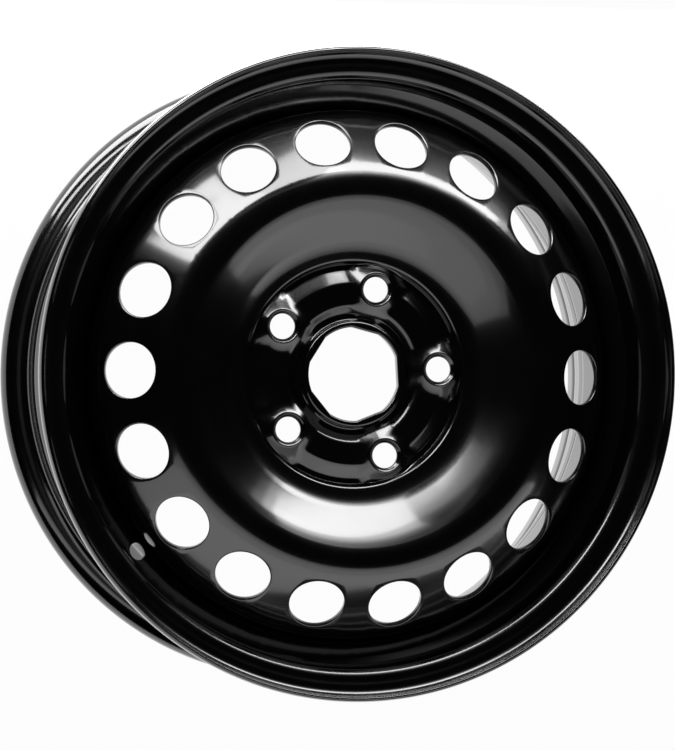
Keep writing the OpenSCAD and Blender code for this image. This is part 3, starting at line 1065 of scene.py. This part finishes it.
class Shader:
    """A material's or world's node tree, built from one method."""

    def __init__(self, owner: bpy.types.Material | bpy.types.World) -> None:
        """Empties the owner's tree."""
        owner.use_nodes = True
        self.tree = owner.node_tree
        self.tree.nodes.clear()

    def node(self, kind: str, settings: dict[str, object], inputs: dict[str | int, object]) -> bpy.types.Node:
        """Adds a node.

        Args:
            kind: The node's type.
            settings: Its properties, set first.
            inputs: Numbers, colours or sockets for its inputs, by name or place.
        """
        node = self.tree.nodes.new(kind)
        for key, value in settings.items():
            setattr(node, key, value)
        for key, value in inputs.items():
            if isinstance(value, bpy.types.NodeSocket):
                self.tree.links.new(value, node.inputs[key])
            else:
                node.inputs[key].default_value = value
        return node

    def math(self, operation: str, *inputs: object) -> bpy.types.NodeSocket:
        """Adds a Math node and returns its result."""
        return self.node("ShaderNodeMath", {"operation": operation}, dict(enumerate(inputs))).outputs[0]

    def noise(
        self, place: bpy.types.NodeSocket, scale: float, detail: float, roughness: float = 0.5
    ) -> bpy.types.NodeSocket:
        """Adds a noise texture and returns its result."""
        inputs = {"Vector": place, "Scale": scale, "Detail": detail, "Roughness": roughness}
        return self.node("ShaderNodeTexNoise", {}, inputs).outputs["Fac"]


@dataclass(frozen=True)
class GlossPaint:
    """Black dip paint on pressed steel: a dark base under a clear, slightly wavy skin."""

    name: str
    dark: Triple = (0.0005, 0.0005, 0.0006)
    light: Triple = (0.0014, 0.0014, 0.0016)
    rough_low: float = 0.16
    rough_span: float = 0.1
    peel_size: float = 2.6
    sag_size: float = 24.0
    peel_depth: float = 0.0025
    peel_share: float = 0.35
    film_scale: float = 38.0

    def make(self) -> bpy.types.Material:
        """Builds the material's node tree."""
        material = bpy.data.materials.new(self.name)
        kit = Shader(material)
        place = kit.node("ShaderNodeTexCoord", {}, {}).outputs["Object"]
        peel = kit.noise(place, 1 / (self.peel_size * MM), 2.0)
        sag = kit.noise(place, 1 / (self.sag_size * MM), 3.0)
        film = kit.noise(place, self.film_scale, 5.0, 0.6)
        tint = kit.node(
            "ShaderNodeMix", {"data_type": "RGBA"}, {0: film, 6: (*self.dark, 1.0), 7: (*self.light, 1.0)})
        height = kit.math("MULTIPLY_ADD", peel, self.peel_share, sag)
        bump = kit.node(
            "ShaderNodeBump", {}, {"Strength": 1.0, "Distance": self.peel_depth * MM, "Height": height})
        rough = kit.math("MULTIPLY_ADD", film, self.rough_span, self.rough_low)
        paint = kit.node("ShaderNodeBsdfPrincipled", {}, {
            "Base Color": tint.outputs[2], "Roughness": rough, "Normal": bump.outputs[0],
            "IOR": 1.5, "Coat Weight": 1.0, "Coat Roughness": 0.1, "Coat IOR": 1.7,
        })
        kit.node("ShaderNodeOutputMaterial", {}, {"Surface": paint.outputs[0]})
        return material


@dataclass(frozen=True)
class SoftBox:
    """A rectangular studio light that faces the wheel's axis, turned about its own middle by a slant."""

    name: str
    centre: Triple
    width: float
    height: float
    radiance: float
    slant_deg: float = 0.0

    def place(self) -> None:
        """Adds the light."""
        data = bpy.data.lights.new(self.name, "AREA")
        data.shape = "RECTANGLE"
        data.size = self.width
        data.size_y = self.height
        data.energy = self.radiance * math.pi * self.width * self.height
        light = bpy.data.objects.new(self.name, data)
        way = Vector((0.0, -self.centre[1], 0.0))
        turn = way.to_track_quat("-Z", "Y").to_matrix()
        slant = Matrix.Rotation(math.radians(self.slant_deg), 3, "Y")
        light.matrix_world = Matrix.Translation(self.centre) @ (slant @ turn).to_4x4()
        light.visible_camera = False
        bpy.context.scene.collection.objects.link(light)


@dataclass(frozen=True)
class Studio:
    """The pale floor, the dim room, the soft boxes and the camera."""

    floor_half: float = 12.0
    floor_white: float = 0.975
    floor_tone: Colour = (0.86, 0.86, 0.86, 1.0)
    room: Colour = (0.004, 0.004, 0.004, 1.0)
    camera_mm: Triple = (-485.233, -13.538, 1917.121)
    camera_right: Triple = (0.970491, -0.001634, 0.241133)
    camera_up: Triple = (0.0, 0.999977, 0.006778)
    camera_back: Triple = (-0.241139, -0.006578, 0.970469)
    focal_px: float = 3074.65
    sensor: float = 36.0
    camera_far: float = 100.0
    boxes: tuple[SoftBox, ...] = (
        SoftBox("overhead_core", (0.145, 0.26, 0.11), 0.31, 0.08, 8.5),
        SoftBox("overhead_low", (-0.03, 0.26, -0.1), 0.66, 0.08, 8.0),
        SoftBox("overhead_fade_low", (0.14, 0.26, 0.166), 0.3, 0.032, 4.2),
        SoftBox("overhead_fade_mid", (0.135, 0.26, 0.194), 0.3, 0.024, 2.2),
        SoftBox("overhead_fade_high", (0.13, 0.26, 0.221), 0.3, 0.03, 0.8),
        SoftBox("overhead_spill", (0.1, 0.26, 0.263), 0.5, 0.054, 0.22),
        SoftBox("overhead_end", (0.32, 0.26, 0.11), 0.04, 0.09, 3.4),
        SoftBox("overhead_tail", (0.365, 0.26, 0.11), 0.05, 0.09, 0.9),
        SoftBox("overhead_gap", (-0.05, 0.26, 0.112), 0.115, 0.085, 6.5, 18.3),
        SoftBox("overhead_side", (-0.215, 0.26, 0.1655), 0.242, 0.085, 8.5, 18.3),
        SoftBox("overhead_side_low", (-0.24, 0.26, 0.094), 0.18, 0.05, 8.0, 12.0),
        SoftBox("table_near", (0.02, -0.235, 0.106), 0.92, 0.088, 1.08),
        SoftBox("table_mid", (0.02, -0.235, 0.2), 0.92, 0.1, 0.9),
        SoftBox("table_far", (0.02, -0.235, 0.29), 0.92, 0.08, 0.72),
        SoftBox("table_end", (0.02, -0.235, 0.375), 0.92, 0.09, 0.5),
    )

    def set_up(self) -> None:
        """Adds everything that isn't part of the wheel."""
        self._floor()
        self._room()
        for box in self.boxes:
            box.place()
        self._camera()

    def _floor(self) -> None:
        """Lays the pale floor at the wheel's lowest point."""
        half, low = self.floor_half, CAD_BOX[0][2]
        mesh = bpy.data.meshes.new("studio_floor")
        corners = [(-half, -half, low), (half, -half, low), (half, half, low), (-half, half, low)]
        mesh.from_pydata(corners, [], [(0, 1, 2, 3)])
        floor = bpy.data.objects.new("studio_floor", mesh)
        bpy.context.scene.collection.objects.link(floor)
        material = bpy.data.materials.new("pale_floor")
        kit = Shader(material)
        rays = kit.node("ShaderNodeLightPath", {}, {}).outputs
        mirrored = kit.math("MAXIMUM", rays["Is Glossy Ray"], rays["Is Transmission Ray"])
        seen = kit.math("MAXIMUM", rays["Is Camera Ray"], mirrored)
        share = kit.math("MULTIPLY", seen, self.floor_white)
        plain = kit.node("ShaderNodeBsdfDiffuse", {}, {"Color": self.floor_tone})
        white = kit.node("ShaderNodeEmission", {}, {"Color": (1.0, 1.0, 1.0, 1.0), "Strength": 1.0})
        mix = kit.node("ShaderNodeMixShader", {}, {0: share, 1: plain.outputs[0], 2: white.outputs[0]})
        kit.node("ShaderNodeOutputMaterial", {}, {"Surface": mix.outputs[0]})
        mesh.materials.append(material)

    def _room(self) -> None:
        """Sets the dim room round the lights."""
        world = bpy.data.worlds.new("dim_room")
        bpy.context.scene.world = world
        kit = Shader(world)
        back = kit.node("ShaderNodeBackground", {}, {"Color": self.room, "Strength": 1.0})
        kit.node("ShaderNodeOutputWorld", {}, {"Surface": back.outputs[0]})

    def _camera(self) -> None:
        """Places the camera at the photograph's viewing angle."""
        data = bpy.data.cameras.new("camera")
        data.sensor_fit = "VERTICAL"
        data.sensor_height = self.sensor
        data.lens = self.focal_px * self.sensor / PHOTO_HEIGHT_PX
        data.clip_end = self.camera_far
        camera = bpy.data.objects.new("camera", data)
        turn = Matrix((self.camera_right, self.camera_up, self.camera_back)).transposed()
        turn = turn.to_quaternion().to_matrix()
        camera.matrix_world = Matrix.Translation(Vector(self.camera_mm) * MM) @ turn.to_4x4()
        bpy.context.scene.collection.objects.link(camera)
        bpy.context.scene.camera = camera


def main() -> None:
    """Builds the wheel's pieces, dresses them and sets up the studio."""
    logging.basicConfig(level=logging.INFO, format="%(message)s")
    bpy.context.scene.view_settings.view_transform = "Standard"
    for piece, paint in (
        (Rim(), GlossPaint("rim_black")),
        (Disc(), GlossPaint("disc_black")),
        (WeldBeads(), GlossPaint("weld_black", rough_low=0.12, peel_depth=0.01)),
    ):
        piece.build().data.materials.append(paint.make())
    Studio().set_up()


if __name__ == "__main__":
    main()
